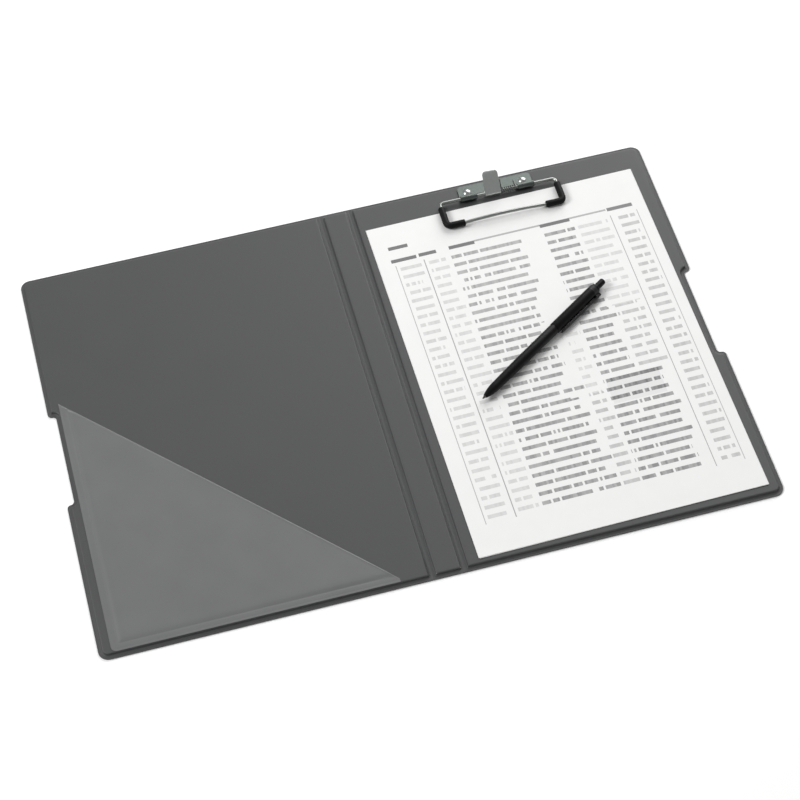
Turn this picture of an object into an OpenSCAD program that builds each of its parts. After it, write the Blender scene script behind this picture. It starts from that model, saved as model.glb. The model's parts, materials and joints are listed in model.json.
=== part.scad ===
// Fold-over clipboard for A4 sheets.
//
// Two panels of greyboard, welded between two plastic films, are joined by a spine with a film
// hinge on each side. The left panel is the front cover, with a corner pocket inside. The right
// panel is the writing board: a sprung wire clip at its top holds a few sheets, and a push-button
// pen lies on them.
//
// The folder lies open and flat. X runs across it from the cover to the board, Y runs up the page
// and Z runs up. The origin is the middle of the underside. All sizes are in millimetres.

/* [Folder] */
// Width of the open folder
folder_w = 485; // [475:1:520]
// Height of the folder
folder_h = 329; // [322:1:350]
// Radius of the four outer corners
corner_r = 7; // [4:0.5:12]
// Thickness of the greyboard in each panel
board_t = 2; // [1.6:0.1:2.4]
// Thickness of one film
film_t = 0.3; // [0.2:0.05:0.4]
// Width of the welded rim round each panel, where the two films meet
rim_w = 3; // [2:0.25:3.5]

/* [Spine] */
// Width of the board strip in the spine
spine_board_w = 17; // [16:0.5:22]
// Room between two raised panels when the fold between them stands square
fold_clear = 0.3; // [0.2:0.05:0.6]
// Gap between the round bead of a film hinge and the film edge beside it
bead_clear = 0.05; // [0.04:0.01:0.08]

/* [Thumb notches] */
// Length of the notch in each outer edge
notch_l = 82; // [60:1:110]
// Depth of the notch
notch_d = 5.5; // [4.5:0.25:7]

/* [Corner pocket] */
// Height of the pocket along the outer edge
pocket_rise = 208; // [160:1:240]
// Width of the pocket along the bottom edge
pocket_run = 202.5; // [160:0.5:212]
// Distance from the edge of the raised panel to the edge of the pocket
pocket_inset = 0.5; // [0.3:0.1:1.5]
// Radius of the pocket's square corner
pocket_corner_r = 4; // [2:0.5:8]
// Width of the strip that is welded to the cover
pocket_weld = 3; // [2:0.5:5]
// Height of the room inside the empty pocket
pocket_room = 0.4; // [0.3:0.1:1.2]

/* [Wire clip] */
// Distance from the right edge of the folder to the middle of the wire bow
clip_from_edge = 118; // [105:1:125]
// Distance from the top edge of the folder to the axle of the bow
axle_from_top = 17.8; // [17:0.1:22]
// Diameter of the wire
wire_d = 2.5; // [2.2:0.1:2.8]
// Width of the bow, from the middle of one leg to the middle of the other
bow_w = 91.5; // [84:0.5:104]
// Length of the bow, from the axle to the front bar
bow_l = 22.5; // [19:0.5:26]
// Height of the arch in the middle of the front bar
arch_h = 1.6; // [0.8:0.1:2.2]
// Bend radius of the wire beside the axle, to the middle of the wire
rear_bend_r = 3; // [2:0.25:4]
// Bend radius of the wire at the front corners, to the middle of the wire
front_bend_r = 3.5; // [3:0.25:4.5]
// Running clearance between the wire and the rolled eyes of the plate
axle_clear = 0.06; // [0.03:0.01:0.09]

/* [Clip plate] */
// Width of the riveted plate
plate_w = 58; // [52:1:64]
// Distance from the axle to the rear edge of the plate
plate_l = 13.4; // [12:0.2:13.8]
// Thickness of the sheet steel
plate_t = 1; // [0.8:0.1:1.2]
// Length of each rolled eye
eye_l = 13; // [8:0.5:14]
// Distance from each end of the plate to the middle of the rivet there
rivet_from_end = 7; // [5:0.5:9]
// Diameter of the rivet shank
rivet_d = 3.2; // [2.8:0.1:3.6]
// Diameter of the domed rivet head
rivet_head_d = 6; // [5:0.25:6.5]

/* [Thumb lever] */
// Width of the lever
lever_w = 12; // [10:0.5:13]
// Thickness of the lever
lever_t = 1; // [0.8:0.1:1.2]
// Distance from the axle to the bend at the tip of the lever
lever_l = 14; // [12:0.2:15.4]
// Slope of the lever at rest, up from the board
lever_slope = 48; // [40:1:52]
// Sideways shift of the lever, which leaves room for the spring on its right
lever_shift = -3.75; // [-4:0.25:-2]

/* [Lever spring] */
// Diameter of the spring wire
spring_d = 0.8; // [0.6:0.05:0.9]
// Full turns in the coil
spring_turns = 7; // [5:1:7]
// Length of each leg
spring_leg = 9; // [7:0.5:9.5]

/* [Grips] */
// Outer diameter of the plastic grips on the bow's corners
grip_d = 5.2; // [4.6:0.1:5.8]
// Length of a grip along the leg, from the middle of the front bar
grip_on_leg = 17.8; // [14:0.2:18.6]
// Length of a grip along the front bar, from the middle of the leg
grip_on_bar = 14; // [10:0.5:18]

/* [Sheets] */
// Width of the sheets
sheet_w = 210; // [190:1:212]
// Height of the sheets
sheet_h = 297; // [260:1:298]
// Thickness of the stack under the clip
stack_t = 0.5; // [0.2:0.1:1.5]
// Distance from the right edge of the folder to the middle of the sheets
sheet_from_edge = 116.5; // [112:0.5:120]
// Distance from the axle to the top edge of the sheets
sheet_from_axle = 6.2; // [5:0.2:10]
// Turn of the sheets, which lie a little askew
sheet_turn = 0.67; // [0:0.01:1]

/* [Pen] */
// Length of the pen, with the point out
pen_l = 138; // [125:1:145]
// Diameter of the front barrel
pen_front_d = 8; // [7:0.1:8.6]
// Diameter of the rear barrel
pen_rear_d = 8.6; // [8.2:0.1:10]
// Length of the rear barrel, with its clip
pen_rear_l = 49; // [44:1:56]
// Distance that the push button stands out, with the point out
button_out = 8; // [6:0.5:9]
// Travel of the push button and the refill
button_travel = 5; // [3:0.5:5]
// Slope of the pen across the page
pen_turn = 33.8; // [20:0.2:40]
// Place of the pen's point, sideways from the middle of the sheets
pen_point_x = -65.4; // [-80:0.2:-50]
// Place of the pen's point, up the page from the middle of the sheets
pen_point_y = -27; // [-60:0.5:0]
// Gap under what lies on the sheets
rest_gap = 0.15; // [0.1:0.05:0.3]

/* [Hidden] */

$fn = 64;
over = 1;                 // how far a cut runs past the face it opens

// Panels. A panel is drawn with u = 0 on its fold line and u = reach at its outer edge.
panel_t = board_t + 2 * film_t;
raised_t = board_t + film_t;               // height of the raised panel above the fold line
fold_gap = raised_t + fold_clear;          // from the fold line to the raised panel
fold_x = spine_board_w / 2 + film_t + fold_gap;
reach = folder_w / 2 - fold_x;
notch_r = notch_d / 2;                     // each end of a notch is two quarter bends
bead_r = film_t;
bead_gap = bead_r + bead_clear;
wall_inset = rim_w + film_t;               // from the outer edge to the board
least_bend = 0.5;                          // radius left at a corner that an inset would close

// Colours
film_grey = [0.37, 0.38, 0.38];
film_back = [0.30, 0.31, 0.31];
pocket_grey = [0.47, 0.47, 0.47];
greyboard = [0.55, 0.52, 0.47];
plated = [0.62, 0.63, 0.63];
bright = [0.78, 0.79, 0.80];
soft_black = [0.07, 0.07, 0.07];
pen_black = [0.05, 0.05, 0.06];
paper_white = [0.96, 0.96, 0.95];
brass = [0.76, 0.62, 0.32];

// ---- Panels ----

// The notch in the outer edge, drawn for an outline that is inset from the true edge
module notch_cut(inset) {
    edge = reach - inset;
    depth_u = edge - notch_d;
    wall_y = notch_l / 2 + inset;
    bend_in = notch_r + inset;
    bend_out = notch_r - inset;
    translate([depth_u + bend_in, -wall_y])
        square([reach - depth_u, 2 * wall_y]);
    translate([depth_u, -(wall_y - bend_in)])
        square([reach - depth_u, 2 * (wall_y - bend_in)]);
    for (side = [-1, 1])
        translate([depth_u + bend_in, side * (wall_y - bend_in)])
            circle(bend_in);
    if (bend_out > 0)
        for (side = [0, 1])
            mirror([0, side])
                difference() {
                    translate([edge - bend_out, wall_y - over])
                        square([bend_out + over, bend_out + over]);
                    translate([edge - bend_out, wall_y + bend_out])
                        circle(bend_out);
                }
}

// Outline of a panel from u = near to its outer edge, inset on its three free sides
module panel_outline(near, inset) {
    edge = reach - inset;
    half_h = folder_h / 2 - inset;
    bend = max(corner_r - inset, least_bend);
    difference() {
        union() {
            translate([near, -half_h])
                square([edge - near - bend, 2 * half_h]);
            translate([near, bend - half_h])
                square([edge - near, 2 * (half_h - bend)]);
            for (side = [-1, 1])
                translate([edge - bend, side * (half_h - bend)])
                    circle(bend);
        }
        notch_cut(inset);
    }
}

module panel_board()
    translate([0, 0, film_t])
        linear_extrude(board_t)
            panel_outline(fold_gap + film_t, wall_inset);

// The film on the inside runs over the board, down its sides and out to the welded rim
module panel_inner_skin()
    difference() {
        union() {
            translate([0, 0, film_t])
                linear_extrude(film_t)
                    panel_outline(bead_gap, 0);
            translate([0, 0, film_t])
                linear_extrude(raised_t)
                    panel_outline(fold_gap, rim_w);
        }
        panel_board();
    }

module panel_outer_skin()
    linear_extrude(film_t)
        panel_outline(bead_gap, 0);

module back_place()
    translate([fold_x, 0, 0])
        children();

module cover_place()
    mirror([1, 0, 0])
        back_place()
            children();

// ---- Back panel: the writing board ----

module back_board()
    color(greyboard)
        difference() {
            back_place()
                panel_board();
            rivet_places()
                rivet_bore();
        }

module back_inner_skin()
    color(film_grey)
        difference() {
            back_place()
                panel_inner_skin();
            rivet_places()
                rivet_bore();
        }

module back_outer_skin()
    color(film_back)
        back_place()
            panel_outer_skin();

// ---- Spine: a board strip between two films, with a round bead on each fold line ----

module spine_strip(half_w, inset, height)
    linear_extrude(height)
        square([2 * half_w, folder_h - 2 * inset], center = true);

module spine_board()
    color(greyboard)
        translate([0, 0, film_t])
            spine_strip(spine_board_w / 2, wall_inset, board_t);

module spine_inner_skin()
    color(film_grey)
        translate([0, 0, film_t])
            difference() {
                union() {
                    spine_strip(fold_x - bead_gap, 0, film_t);
                    spine_strip(spine_board_w / 2 + film_t, rim_w, raised_t);
                }
                spine_strip(spine_board_w / 2, wall_inset, board_t);
            }

module spine_outer_skin()
    color(film_back)
        rotate([90, 0, 0])
            linear_extrude(folder_h, center = true) {
                translate([-fold_x, 0])
                    square([2 * fold_x, film_t]);
                for (side = [-1, 1])
                    translate([side * fold_x, film_t])
                        circle(bead_r);
            }

// ---- Front cover ----

module cover_board()
    color(greyboard)
        cover_place()
            panel_board();

module cover_inner_skin()
    color(film_grey)
        cover_place()
            panel_inner_skin();

module cover_outer_skin()
    color(film_back)
        cover_place()
            panel_outer_skin();

// The pocket's triangle, which clears the thumb notch, inset on its two welded edges
module pocket_outline(inset) {
    corner_u = reach - notch_d - rim_w - pocket_inset;
    corner_y = -(folder_h / 2 - rim_w - pocket_inset);
    bend = max(pocket_corner_r - inset, least_bend);
    intersection() {
        polygon([
            [corner_u, corner_y],
            [corner_u, corner_y + pocket_rise],
            [corner_u - pocket_run, corner_y]
        ]);
        union() {
            translate([corner_u - inset - pocket_run, corner_y + inset + bend])
                square([pocket_run, pocket_rise]);
            translate([corner_u - inset - pocket_run, corner_y + inset])
                square([pocket_run - bend, pocket_rise]);
            translate([corner_u - inset - bend, corner_y + inset + bend])
                circle(bend);
        }
    }
}

// One sheet of film: welded flat along its two outer edges, and standing a little off the cover
// inside them, so that its long diagonal edge is the mouth of the pocket
module corner_pocket()
    color(pocket_grey)
        cover_place()
            translate([0, 0, panel_t])
                difference() {
                    union() {
                        linear_extrude(film_t)
                            pocket_outline(0);
                        linear_extrude(pocket_room + film_t)
                            pocket_outline(pocket_weld - film_t);
                    }
                    translate([0, 0, -over])
                        linear_extrude(pocket_room + over)
                            pocket_outline(pocket_weld);
                }

// ---- Wire clip ----

wire_r = wire_d / 2;
grip_r = grip_d / 2;
clip_x = folder_w / 2 - clip_from_edge;
axle_y = folder_h / 2 - axle_from_top;
// The axle is level with the front bar, so the bow lies flat on the stack
axle_z = panel_t + stack_t + rest_gap + grip_r;
eye_r = wire_r + axle_clear;
roll_seam = 285;                           // where the rolled edge ends, round from the back
plate_bottom = panel_t - axle_z;           // heights from here on are counted from the axle
plate_top = plate_bottom + plate_t;
plate_bend_r = 0.5;                        // inside radius of the bend under an eye
plate_front = eye_r + plate_t + plate_bend_r;
plate_corner_r = 3;
spring_clear = 0.15;                       // round the wire, inside the coil
spring_r = wire_r + spring_clear + spring_d / 2;
seat_clear = 0.05;                         // between the spring's legs and what they press on
spring_window = 1.5;                       // room in the plate in front of the spring's coil
plate_mid_front = spring_r + spring_d / 2 + spring_window;
rivet_forward = 0.9;                       // from the middle of the plate towards the eyes
rivet_x = plate_w / 2 - rivet_from_end;
rivet_y = (plate_front + plate_l) / 2 - rivet_forward;
rivet_clear = 0.05;
rivet_head_h = 1.2;
rivet_tail_lap = 1;                        // the clenched tail grips the board this far round the shank
rivet_tail_d = rivet_d + 2 * rivet_tail_lap;
rivet_tail_t = 0.5;

module clip_place()
    translate([clip_x, axle_y, axle_z])
        children();

// Sweeps an outline drawn in Y and Z along X
module along_x(from, to)
    translate([from, 0, 0])
        rotate([90, 0, 90])
            linear_extrude(to - from)
                children();

// A strip rolled round the axle: a ring from angle first to angle last, counted from the back
module rolled_ring(inner_r, sheet_t, first, last) {
    far = 4 * (inner_r + sheet_t);
    gap = 360 - (last - first);
    difference() {
        circle(inner_r + sheet_t);
        circle(inner_r);
        polygon([
            [0, 0],
            far * [cos(last), sin(last)],
            far * [cos(last + gap / 2), sin(last + gap / 2)],
            far * [cos(first), sin(first)]
        ]);
    }
}

// Side view of an eye: the plate turns up in a tight bend and rolls over the wire
module eye_profile() {
    rolled_ring(eye_r, plate_t, 0, roll_seam);
    translate([eye_r, plate_top + plate_bend_r])
        square([plate_t, -plate_top - plate_bend_r]);
    translate([plate_front, plate_top + plate_bend_r])
        difference() {
            circle(plate_bend_r + plate_t);
            circle(plate_bend_r);
            translate([0, -2 * plate_t - plate_bend_r])
                square(4 * plate_t);
            translate([-2 * plate_t - plate_bend_r, 0])
                square(4 * plate_t);
        }
}

module plate_outline() {
    half = plate_w / 2;
    difference() {
        union() {
            translate([-half, plate_front])
                square([plate_w, plate_l - plate_front - plate_corner_r]);
            translate([plate_corner_r - half, plate_front])
                square([plate_w - 2 * plate_corner_r, plate_l - plate_front]);
            for (side = [-1, 1])
                translate([side * (half - plate_corner_r), plate_l - plate_corner_r])
                    circle(plate_corner_r);
        }
        translate([eye_l - half, plate_front - over])
            square([plate_w - 2 * eye_l, plate_mid_front - plate_front + over]);
        for (side = [-1, 1])
            translate([side * rivet_x, rivet_y])
                circle(rivet_d / 2 + rivet_clear);
    }
}

module clip_plate()
    color(plated)
        clip_place() {
            translate([0, 0, plate_bottom])
                linear_extrude(plate_t)
                    plate_outline();
            along_x(-plate_w / 2, eye_l - plate_w / 2)
                eye_profile();
            along_x(plate_w / 2 - eye_l, plate_w / 2)
                eye_profile();
        }

// Children are drawn once at each rivet, on the underside of the board
module rivet_places(sides = [-1, 1])
    for (side = sides)
        translate([clip_x + side * rivet_x, axle_y + rivet_y, film_t])
            children();

// The hole for a rivet through board and film, with a recess for its tail
module rivet_bore() {
    translate([0, 0, -over])
        cylinder(d = rivet_d + 2 * rivet_clear, h = panel_t + 2 * over);
    translate([0, 0, -over])
        cylinder(d = rivet_tail_d + 2 * rivet_clear, h = rivet_tail_t + rivet_clear + over);
}

module rivet() {
    shank_l = raised_t + plate_t;
    head_r = rivet_head_d / 2;
    dome_r = (head_r * head_r + rivet_head_h * rivet_head_h) / (2 * rivet_head_h);
    rotate_extrude() {
        square([rivet_d / 2, shank_l]);
        square([rivet_tail_d / 2, rivet_tail_t]);
        translate([0, shank_l])
            intersection() {
                translate([0, rivet_head_h - dome_r])
                    circle(dome_r, $fn = 128);
                square([head_r, rivet_head_h]);
            }
    }
}

module rivet_left()
    color(bright)
        rivet_places([-1])
            rivet();

module rivet_right()
    color(bright)
        rivet_places([1])
            rivet();

// A quarter bend of wire that leaves the origin along +X and turns towards -Y
module wire_bend(mid_r, bar_r)
    translate([0, -mid_r, 0])
        rotate_extrude(angle = 90)
            translate([mid_r, 0])
                circle(bar_r);

// The front bar arches between the grips in one shallow arc. Just inside each grip, the arc and the
// straight bar both end in a slight swelling of the wire, which the grip hides.
arch_lap = 0.25;                           // how far the arch runs into each grip
arch_half = bow_w / 2 - grip_on_bar + arch_lap;
arch_r = (arch_half * arch_half + arch_h * arch_h) / (2 * arch_h);
arch_turn = asin(arch_half / arch_r);
swelling_r = wire_r + 0.02;                // just enough for the two ends to meet inside it
swelling_gap = 0.1;                        // from the middle of the swelling to the wire's end in it

module arch() {
    span = arch_turn - swelling_gap / arch_r * 180 / PI;
    translate([0, -bow_l, arch_h - arch_r])
        rotate([90, 0, 0])
            rotate([0, 0, 90 - span])
                rotate_extrude(angle = 2 * span, $fn = 512)
                    translate([arch_r, 0])
                        circle(wire_r, $fn = 64);
    for (side = [-1, 1])
        translate([side * arch_half, -bow_l, 0])
            rotate([0, 90, 0])
                sphere(swelling_r);
}

// One side of the bow, from its end in the lever to the start of the arch
module half_bow(end_x) {
    leg_x = bow_w / 2;
    translate([end_x, 0, 0])
        rotate([0, 90, 0])
            cylinder(r = wire_r, h = leg_x - rear_bend_r - end_x);
    translate([leg_x - rear_bend_r, 0, 0])
        wire_bend(rear_bend_r, wire_r);
    translate([leg_x, -rear_bend_r, 0])
        rotate([90, 0, 0])
            cylinder(r = wire_r, h = bow_l - rear_bend_r - front_bend_r);
    front_corner()
        wire_bend(front_bend_r, wire_r);
    translate([arch_half + swelling_gap, -bow_l, 0])
        rotate([0, 90, 0])
            cylinder(r = wire_r, h = leg_x - front_bend_r - arch_half - swelling_gap);
}

// Turns a bend so that it joins the right leg to the front bar
module front_corner()
    translate([bow_w / 2, front_bend_r - bow_l, 0])
        rotate([0, 0, -90])
            children();

wire_end_gap = 1;                          // between the wire's two ends, inside the lever

module wire_bow()
    color(plated)
        clip_place() {
            half_bow(lever_shift + wire_end_gap / 2);
            mirror([1, 0, 0])
                half_bow(wire_end_gap / 2 - lever_shift);
            arch();
        }

// The lever's strip rolls tightly round both ends of the wire and is crimped on them
crimp_clear = 0.02;
lever_roll_r = wire_r + crimp_clear;
lever_corner_r = 3;
lever_seam = 330;                          // degrees from the back at which the roll ends
tip_bend_r = 4.5;
tip_bend = 35;
lever_tip_l = lever_l + (tip_bend_r + lever_t) * sin(tip_bend);

module lever_profile() {
    rolled_ring(lever_roll_r, lever_t, 90, lever_seam);
    translate([0, lever_roll_r])
        square([lever_l, lever_t]);
    translate([lever_l, lever_roll_r - tip_bend_r])
        difference() {
            intersection() {
                circle(tip_bend_r + lever_t);
                polygon([
                    [0, 0],
                    [0, 2 * tip_bend_r],
                    2 * tip_bend_r * [sin(tip_bend), cos(tip_bend)] + [0, tip_bend_r],
                    2 * tip_bend_r * [sin(tip_bend), cos(tip_bend)]
                ]);
            }
            circle(tip_bend_r);
        }
}

// Face view of the lever: a strip with a rounded tip
module lever_face() {
    back = lever_roll_r + lever_t;
    translate([-lever_w / 2, -back])
        square([lever_w, back + lever_tip_l - lever_corner_r]);
    translate([lever_corner_r - lever_w / 2, -back])
        square([lever_w - 2 * lever_corner_r, back + lever_tip_l]);
    for (side = [-1, 1])
        translate([side * (lever_w / 2 - lever_corner_r), lever_tip_l - lever_corner_r])
            circle(lever_corner_r);
}

module thumb_lever()
    color(plated)
        clip_place()
            translate([lever_shift, 0, 0])
                rotate([lever_slope, 0, 0])
                    intersection() {
                        along_x(-lever_w / 2, lever_w / 2)
                            lever_profile();
                        linear_extrude(2 * lever_tip_l, center = true)
                            lever_face();
                    }

// A moulded L on each front corner of the wire, with rounded ends
grip_bore_r = wire_r + 0.03;
grip_end_r = 0.8;

module grip_arm(length)
    rotate_extrude()
        difference() {
            union() {
                square([grip_r, length - grip_end_r]);
                square([grip_r - grip_end_r, length]);
                translate([grip_r - grip_end_r, length - grip_end_r])
                    circle(grip_end_r);
            }
            translate([-grip_r, -over])
                square([grip_r + grip_bore_r, length + 2 * over]);
        }

module grip()
    union() {
        front_corner()
            difference() {
                wire_bend(front_bend_r, grip_r);
                wire_bend(front_bend_r, grip_bore_r);
            }
        translate([bow_w / 2, front_bend_r - bow_l, 0])
            rotate([-90, 0, 0])
                grip_arm(grip_on_leg - front_bend_r);
        translate([bow_w / 2 - front_bend_r, -bow_l, 0])
            rotate([0, -90, 0])
                grip_arm(grip_on_bar - front_bend_r);
    }

module grip_left()
    color(soft_black)
        clip_place()
            mirror([1, 0, 0])
                grip();

module grip_right()
    color(soft_black)
        clip_place()
            grip();

// ---- Tubes swept along a route of points ----

function unit(v) = v / norm(v);
function route_way(p, i) = unit(p[min(i + 1, len(p) - 1)] - p[max(i - 1, 0)]);

// A side direction at each point, carried along the route without twisting
function carried(p, side, i = 0) =
    let (
        way = route_way(p, i),
        flat = unit(side - (side * way) * way)
    )
    i == len(p) - 1 ? [flat] : concat([flat], carried(p, flat, i + 1));

function ring(centre, way, side, r, n) =
    let (up = cross(way, side))
    [for (k = [0:n - 1]) centre + r * (cos(360 * k / n) * side + sin(360 * k / n) * up)];

// A tube of radius r and n sides along the points p
module tube(p, r, n, side) {
    sides = carried(p, side);
    corners = [for (i = [0:len(p) - 1]) each ring(p[i], route_way(p, i), sides[i], r, n)];
    last = n * (len(p) - 1);
    walls = [
        for (i = [0:len(p) - 2], k = [0:n - 1])
            let (a = n * i + k, b = n * i + (k + 1) % n)
            each [[a, a + n, b + n], [a, b + n, b]]
    ];
    caps = [
        for (k = [1:n - 2])
            each [[0, k, k + 1], [last, last + k + 1, last + k]]
    ];
    polyhedron(points = corners, faces = concat(walls, caps), convexity = 10);
}

// Least clear gap between two turns of a coil, measured from point to point along it
function turn_gap(p, per_turn, d) =
    min([
        for (i = [0:len(p) - 1 - per_turn])
            norm(p[i + per_turn] - p[i]) - d
    ]);

// ---- Lever spring: a coil round the wire, with one leg on the plate and one under the lever ----

rings_per_turn = 8;
coil_right = plate_w / 2 - eye_l - spring_d;
coil_left = lever_shift + lever_w / 2 + spring_d;
under_lever = lever_roll_r - spring_d / 2 - seat_clear;
// The upper leg leaves the top of the coil and meets the lever's underside at its end
leg_line = norm([spring_leg, under_lever]);
leg_slope = lever_slope + atan(under_lever / spring_leg) - asin(spring_r / leg_line);
coil_turn = 360 * spring_turns + 180 - leg_slope;
coil_steps = ceil(coil_turn * rings_per_turn / 360);
leg_length = sqrt(leg_line * leg_line - spring_r * spring_r);
hook_l = lever_w / 3;

function coil_point(i) =
    let (turn = -90 - coil_turn * i / coil_steps)
    [
        coil_right + (coil_left - coil_right) * i / coil_steps,
        spring_r * cos(turn),
        spring_r * sin(turn)
    ];

function upper_leg(along) =
    coil_point(coil_steps) + along * [0, cos(leg_slope), sin(leg_slope)];

spring_coil = [for (i = [0:coil_steps]) coil_point(i)];
spring_route = concat(
    [[coil_right, spring_leg, -spring_r], [coil_right, spring_d, -spring_r]],
    spring_coil,
    [
        upper_leg(spring_d),
        upper_leg(leg_length - spring_d),
        upper_leg(leg_length - 0.3 * spring_d) - [0.3 * spring_d, 0, 0],
        upper_leg(leg_length) - [spring_d, 0, 0],
        upper_leg(leg_length) - [hook_l, 0, 0]
    ]
);

module lever_spring()
    color(bright)
        clip_place()
            tube(spring_route, spring_d / 2, 6, [1, 0, 0]);

echo(least_gap_lever_spring = turn_gap(spring_coil, rings_per_turn, spring_d));

// ---- Sheets ----

sheet_x = folder_w / 2 - sheet_from_edge;
sheet_y = axle_y - sheet_from_axle - sheet_h / 2;
stack_top = panel_t + stack_t;

module paper_sheets()
    color(paper_white)
        translate([sheet_x, sheet_y, panel_t])
            rotate([0, 0, sheet_turn])
                linear_extrude(stack_t)
                    square([sheet_w, sheet_h], center = true);

// ---- Pen. Its own Z runs from the point to the push button. ----

pen_rear_r = pen_rear_d / 2;
pen_front_r = pen_front_d / 2;
pen_wall = 1.6;
point_out = 2.5;                           // how far the refill's point stands out
nose_l = 12;
nose_r = 1.45;                             // radius of the nose at its open end
nose_hole_r = 1.2;
nose_floor_l = 6.5;                        // from the nose's open end to the floor of the barrel's bore
nose_step = point_out + nose_floor_l;
finger_taper = 0.5;                        // the front barrel narrows by this to the nose
finger_l = 26;
pen_bore_r = pen_front_r - pen_wall;
pen_top = pen_l - button_out;
rear_start = pen_top - pen_rear_l;
neck_l = 8;
neck_clear = 0.05;
neck_step = 0.7;                           // the neck is this much slimmer than the barrel
neck_r = pen_front_r - neck_step;
rear_bore_r = neck_r + neck_clear;
top_wall = 2;
button_r = 2.5;
button_clear = 0.1;
button_flange_r = 3;
button_flange_t = 2;
button_foot_gap = 0.5;                     // above the flange, with the button fully out
button_foot = pen_top - top_wall - button_travel - button_flange_t - button_foot_gap;
button_tip_r = 1;                          // rounding of the button's end
refill_r = 1.5;
refill_point_r = 1.1;
refill_neck_up = 2;                        // the refill narrows this far above the bore's floor
refill_neck = nose_step + refill_neck_up;
collar_at = 26;
collar_t = 1.5;
ball_r = 0.4;
clip_roll = 20;                            // the pen rolls until its clip nearly meets the sheets
clip_band_l = 4;
clip_band_t = 0.6;
clip_stand = 1;                            // gap between the clip and the barrel
clip_strip_t = 1.2;
clip_strip_w = 3.8;
clip_from_top = 2.5;
clip_short = 5;                            // the clip is this much shorter than the rear barrel
clip_l = pen_rear_l - clip_short;
clip_root_lap = 0.3;                       // the clip's strip runs this far into its band
clip_pip_r = 0.8;                          // the round pip under the clip's foot, which holds cloth
clip_pip_at = 2;
clip_foot_cut = 0.8;                       // chamfer on the outside of the foot
band_clear = 0.02;
barrel_end_r = 1;                          // rounding of the rear barrel round the button

module pen_place()
    translate([sheet_x + pen_point_x, sheet_y + pen_point_y, stack_top + rest_gap + pen_rear_r])
        rotate([0, 0, pen_turn])
            rotate([0, 90, 0])
                children();

// The nose swells in one arc from its open end, and the finger rest widens from there to the barrel
finger_r = pen_front_r - finger_taper;
nose_top = point_out + nose_l;
finger_top = nose_top + finger_l;
nose_arc_r = (nose_l * nose_l + pow(finger_r - nose_r, 2)) / (2 * (finger_r - nose_r));

module pen_front_barrel()
    color(pen_black)
        pen_place()
            rotate_extrude()
                difference() {
                    union() {
                        intersection() {
                            translate([finger_r - nose_arc_r, nose_top])
                                circle(nose_arc_r, $fn = 256);
                            translate([0, point_out])
                                square([finger_r, nose_l]);
                        }
                        polygon([
                            [0, nose_top],
                            [finger_r, nose_top],
                            [pen_front_r, finger_top],
                            [pen_front_r, rear_start],
                            [0, rear_start]
                        ]);
                        translate([0, rear_start])
                            square([neck_r, neck_l]);
                    }
                    square([nose_hole_r, pen_l]);
                    translate([0, nose_step])
                        square([pen_bore_r, pen_l]);
                }

module pen_rear_barrel() {
    band_at = pen_top - clip_from_top - clip_band_l;
    barrel_end = pen_rear_r - clip_band_t;
    color(pen_black)
        pen_place()
            rotate_extrude()
                difference() {
                    union() {
                        translate([0, rear_start])
                            square([pen_rear_r, band_at - rear_start]);
                        translate([0, band_at])
                            square([barrel_end, pen_top - barrel_end_r - band_at]);
                        translate([0, band_at])
                            square([barrel_end - barrel_end_r, pen_top - band_at]);
                        translate([barrel_end - barrel_end_r, pen_top - barrel_end_r])
                            circle(barrel_end_r);
                    }
                    translate([0, rear_start - over])
                        square([rear_bore_r, pen_rear_l - top_wall + over]);
                    square([button_r + button_clear, pen_l]);
                }
}

// A band round the barrel carries a springy strip that ends in a small foot
module pen_clip() {
    band_at = pen_top - clip_from_top - clip_band_l;
    strip_in = pen_rear_r + clip_stand;
    strip_out = strip_in + clip_strip_t;
    strip_foot = pen_top - clip_from_top - clip_l;
    color([0.16, 0.16, 0.17])
        pen_place() {
            translate([0, 0, band_at])
                difference() {
                    cylinder(r = pen_rear_r, h = clip_band_l);
                    translate([0, 0, -over])
                        cylinder(r = pen_rear_r - clip_band_t + band_clear, h = clip_band_l + 2 * over);
                }
            rotate([0, 0, clip_roll - 90])
                translate([0, clip_strip_w / 2, 0])
                    rotate([90, 0, 0])
                        linear_extrude(clip_strip_w)
                            difference() {
                                union() {
                                    translate([pen_rear_r - clip_root_lap, band_at])
                                        square([strip_out - pen_rear_r + clip_root_lap, clip_band_l]);
                                    translate([strip_in, strip_foot])
                                        square([clip_strip_t, band_at - strip_foot + over]);
                                    translate([strip_in, strip_foot + clip_pip_at])
                                        circle(clip_pip_r);
                                }
                                translate([strip_out, strip_foot])
                                    rotate(45)
                                        square(clip_foot_cut, center = true);
                            }
        }
}

module pen_refill()
    color(brass)
        pen_place()
            rotate_extrude()
                union() {
                    polygon([
                        [0, 0],
                        [ball_r, 0],
                        [refill_point_r, point_out],
                        [refill_point_r, refill_neck],
                        [0, refill_neck]
                    ]);
                    translate([0, refill_neck])
                        square([refill_r, button_foot - refill_neck]);
                    translate([0, collar_at])
                        square([pen_bore_r - 0.2, collar_t]);
                }

module pen_button()
    color(pen_black)
        pen_place()
            translate([0, 0, button_foot])
                rotate_extrude()
                    union() {
                        square([button_flange_r, button_flange_t]);
                        square([button_r, pen_l - button_foot - button_tip_r]);
                        square([button_r - button_tip_r, pen_l - button_foot]);
                        translate([button_r - button_tip_r, pen_l - button_foot - button_tip_r])
                            circle(button_tip_r);
                    }

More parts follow.
